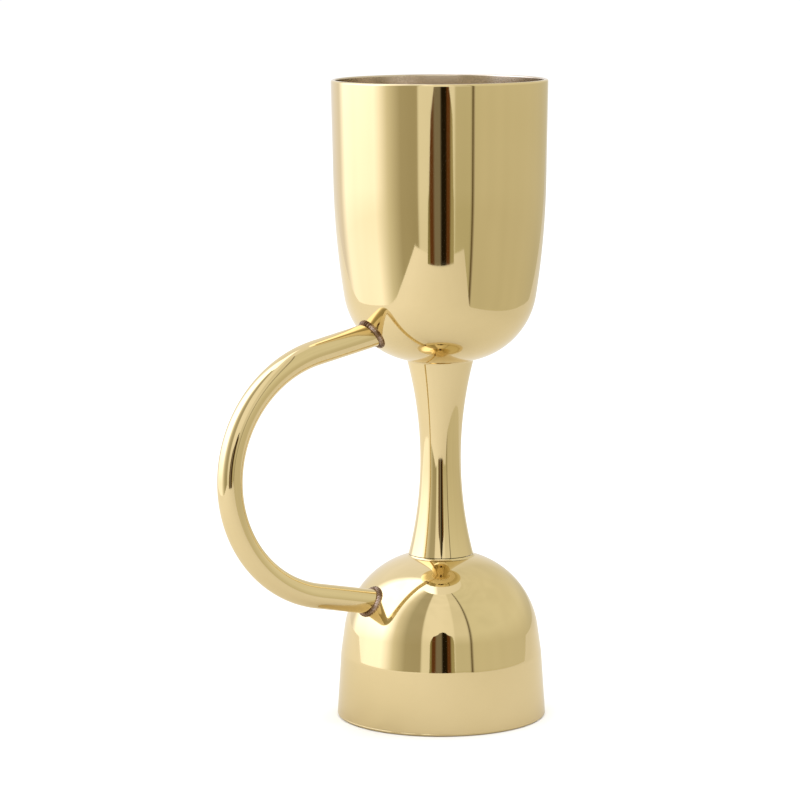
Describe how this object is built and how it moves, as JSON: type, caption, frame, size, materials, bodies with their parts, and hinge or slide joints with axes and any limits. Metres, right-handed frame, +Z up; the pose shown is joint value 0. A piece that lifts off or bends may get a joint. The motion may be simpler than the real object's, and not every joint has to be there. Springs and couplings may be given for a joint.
{
  "type": "bar jigger",
  "caption": "Double-ended bar jigger: a tall upper measuring cup and a short inverted lower cup on a waisted stem, with a bent-tube finger handle welded to one side",
  "frame": {"origin": "centre of the ring on which the lower cup stands, on the axis shared by both cups and the stem", "axes": "+Z up along the jigger's axis towards the upper cup's mouth; the handle lies in the XZ plane on the -X side; +Y completes the right-handed frame"},
  "size_m": [0.071, 0.042, 0.125],
  "materials": {
    "gold_plate": "polished",
    "weld_bead": "satin"
  },
  "bodies": {
    "root": {"upper_cup": "gold_plate", "lower_cup": "gold_plate", "stem": "gold_plate", "upper_stem_solder": "gold_plate", "lower_stem_solder": "gold_plate", "handle": "gold_plate", "upper_handle_weld": "weld_bead", "lower_handle_weld": "weld_bead"}
  },
  "joints": []
}
